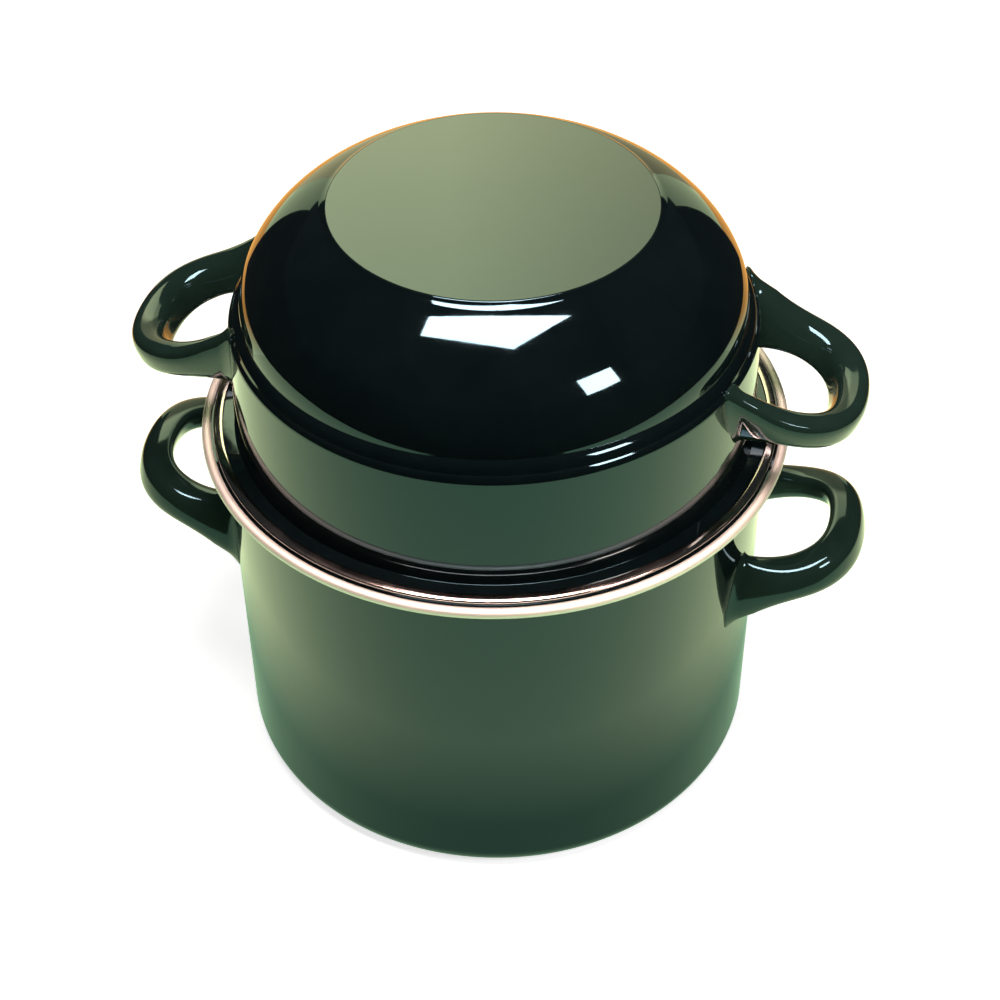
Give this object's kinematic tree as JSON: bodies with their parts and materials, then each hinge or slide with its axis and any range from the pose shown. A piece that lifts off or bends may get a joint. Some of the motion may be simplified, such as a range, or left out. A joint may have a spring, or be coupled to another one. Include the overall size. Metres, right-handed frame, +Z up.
{
  "type": "mussel pot",
  "caption": "Straight-sided enamelled pot with a deep domed bowl as its lid, rolled steel rims and fixed loop handles on the pot and on the lid.",
  "frame": {"origin": "centre of the pot's base, on the plane that it stands on", "axes": "+Z up along the axis of the pot and the lid, +X through the right-hand handles, +Y towards the back"},
  "size_m": [0.3382, 0.2608, 0.2836],
  "materials": {
    "enamel_green": "glossy vitreous enamel",
    "handle_enamel_green": "glossy vitreous enamel",
    "trim_steel": "polished stainless steel"
  },
  "bodies": {
    "pot": {"pot_body": "enamel_green", "pot_rim_band": "trim_steel", "pot_handle_left": "handle_enamel_green", "pot_handle_right": "handle_enamel_green"},
    "lid": {"lid_bowl": "enamel_green", "lid_rim_band": "trim_steel", "lid_handle_left": "handle_enamel_green", "lid_handle_right": "handle_enamel_green"}
  },
  "joints": [
    {"name": "lid_lift", "type": "slide", "parent": "pot", "child": "lid", "axis": [0, 0, 1], "range_m": [0, 0.15]}
  ]
}
